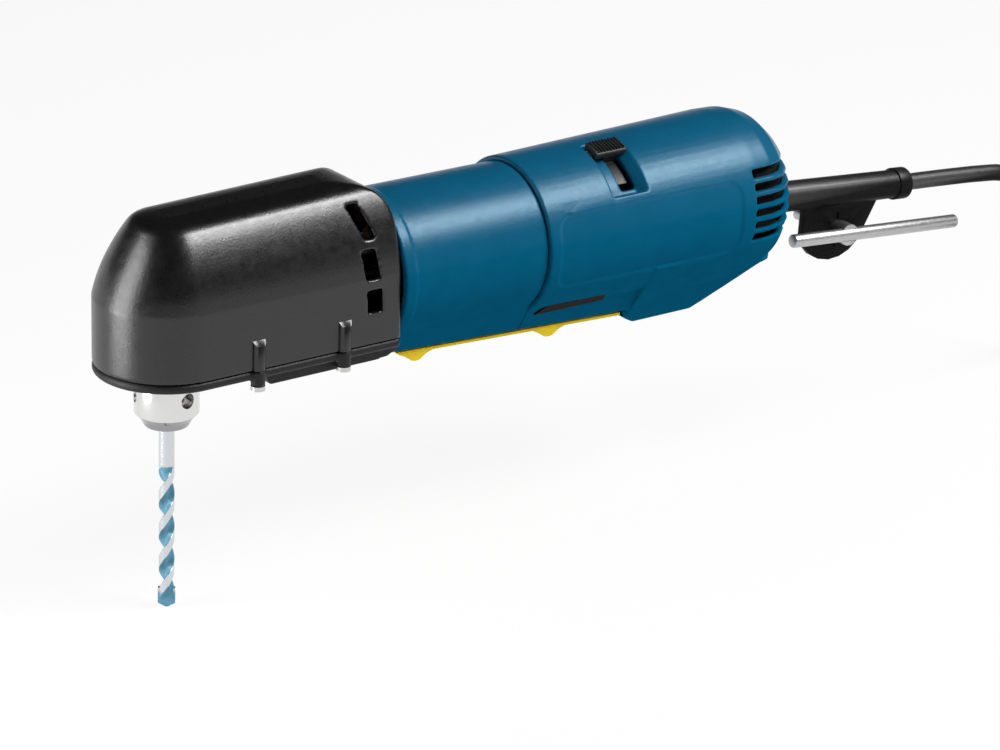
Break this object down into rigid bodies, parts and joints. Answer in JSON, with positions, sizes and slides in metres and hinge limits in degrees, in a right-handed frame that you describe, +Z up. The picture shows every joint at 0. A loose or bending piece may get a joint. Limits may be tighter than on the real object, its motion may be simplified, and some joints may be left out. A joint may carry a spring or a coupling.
{
  "type": "right angle drill",
  "caption": "Corded right angle drill with a gear head across the motor body, a keyed three-jaw chuck holding a masonry bit, a paddle switch and a chuck key in a rubber flap.",
  "frame": {"origin": "on the motor axis at the middle of the grip", "axes": "+X along the motor axis from the gear head to the cord, +Z up, the drill bit points to -Z, and the side that shows is -Y"},
  "size_m": [0.5991, 0.1068, 0.164],
  "materials": {
    "black_plastic": "fine moulded texture",
    "blue_plastic": "satin moulded",
    "yellow_plastic": "satin moulded",
    "grey_plastic": "moulded",
    "white_plastic": "moulded",
    "cast_aluminium": "as cast",
    "steel": "bright turned",
    "hardened_steel": "ground",
    "blue_bit": "painted flutes, bright lands",
    "motor_iron": "stacked sheet",
    "copper": "varnished",
    "brass": "pressed",
    "carbon": "pressed carbon",
    "black_rubber": "matt",
    "bright_pins": "plated"
  },
  "bodies": {
    "root": {"head_cover": "black_plastic", "head_base": "black_plastic", "head_screws": "steel", "gear_case": "cast_aluminium", "bearing_plate": "cast_aluminium", "spindle_lower_bearing": "steel", "spindle_upper_bearing": "steel", "layshaft_front_bearing": "steel", "layshaft_rear_bearing": "steel", "motor_front_bearing": "steel", "motor_rear_bearing": "steel", "field_stack": "motor_iron", "field_coils": "copper", "motor_housing": "blue_plastic", "rear_housing": "blue_plastic", "housing_screws": "steel", "side_inlay": "black_plastic", "paddle_pin": "steel", "switch_body": "grey_plastic", "cord_sleeve": "black_rubber", "inner_lead": "black_rubber", "cord_clamp": "grey_plastic", "clamp_screws": "steel", "chuck_key": "steel", "cord": "black_rubber", "cord_coil": "black_rubber", "cord_tie": "grey_plastic", "plug": "black_plastic", "plug_pins": "bright_pins"},
    "spindle": {"spindle": "steel", "crown_gear": "hardened_steel", "chuck_body": "steel", "drill_bit": "blue_bit"},
    "layshaft": {"layshaft": "hardened_steel", "spur_gear": "hardened_steel"},
    "armature": {"armature_shaft": "steel", "armature_core": "motor_iron", "armature_windings": "copper", "commutator": "copper", "fan": "white_plastic"},
    "chuck_sleeve": {"chuck_sleeve": "hardened_steel"},
    "jaw_a": {"chuck_jaw_a": "hardened_steel"},
    "jaw_b": {"chuck_jaw_b": "hardened_steel"},
    "jaw_c": {"chuck_jaw_c": "hardened_steel"},
    "brush_gear": {"brush_ring": "black_plastic", "brush_holders": "brass", "brushes": "carbon"},
    "paddle": {"paddle": "yellow_plastic"},
    "plunger": {"switch_plunger": "black_plastic"},
    "key_bar": {"key_bar": "steel"}
  },
  "joints": [
    {"name": "armature_spin", "type": "hinge", "parent": "root", "child": "armature", "pos_m": [0, 0, 0], "axis": [1, 0, 0], "continuous": true},
    {"name": "layshaft_spin", "type": "hinge", "parent": "root", "child": "layshaft", "pos_m": [-0.08, 0, 0.0175], "axis": [1, 0, 0], "continuous": true},
    {"name": "spindle_spin", "type": "hinge", "parent": "root", "child": "spindle", "pos_m": [-0.12, 0, 0], "axis": [0, 0, 1], "continuous": true},
    {"name": "chuck_sleeve_turn", "type": "hinge", "parent": "spindle", "child": "chuck_sleeve", "pos_m": [-0.12, 0, -0.018], "axis": [0, 0, 1], "range_deg": [0, 2697]},
    {"name": "jaw_a_slide", "type": "slide", "parent": "spindle", "child": "jaw_a", "axis": [0.1621, -0.0622, 0.9848], "range_m": [0, 0.0113]},
    {"name": "jaw_b_slide", "type": "slide", "parent": "spindle", "child": "jaw_b", "axis": [-0.0272, 0.1715, 0.9848], "range_m": [0, 0.0113]},
    {"name": "jaw_c_slide", "type": "slide", "parent": "spindle", "child": "jaw_c", "axis": [-0.1349, -0.1093, 0.9848], "range_m": [0, 0.0113]},
    {"name": "lever_swing", "type": "hinge", "parent": "root", "child": "brush_gear", "pos_m": [0.065, 0, 0], "axis": [1, 0, 0], "range_deg": [0, 30]},
    {"name": "paddle_press", "type": "hinge", "parent": "root", "child": "paddle", "pos_m": [-0.026, 0, -0.0321], "axis": [0, -1, 0], "range_deg": [0, 1.74], "stiffness_Nm_per_rad": 1.5, "springref_deg": -5.73},
    {"name": "plunger_slide", "type": "slide", "parent": "root", "child": "plunger", "axis": [0, 0, 1], "range_m": [0, 0.004]},
    {"name": "key_bar_slide", "type": "slide", "parent": "root", "child": "key_bar", "axis": [0.9968, 0, -0.0802], "range_m": [-0.008, 0.02]}
  ],
  "couplings": [
    {"joint": "layshaft_spin", "follows": "armature_spin", "ratio": -0.25},
    {"joint": "spindle_spin", "follows": "armature_spin", "ratio": -0.078125},
    {"joint": "jaw_a_slide", "follows": "chuck_sleeve_turn", "m_per_rad": 0.00024},
    {"joint": "jaw_b_slide", "follows": "chuck_sleeve_turn", "m_per_rad": 0.00024},
    {"joint": "jaw_c_slide", "follows": "chuck_sleeve_turn", "m_per_rad": 0.00024},
    {"joint": "plunger_slide", "follows": "paddle_press", "m_per_rad": 0.1316}
  ]
}
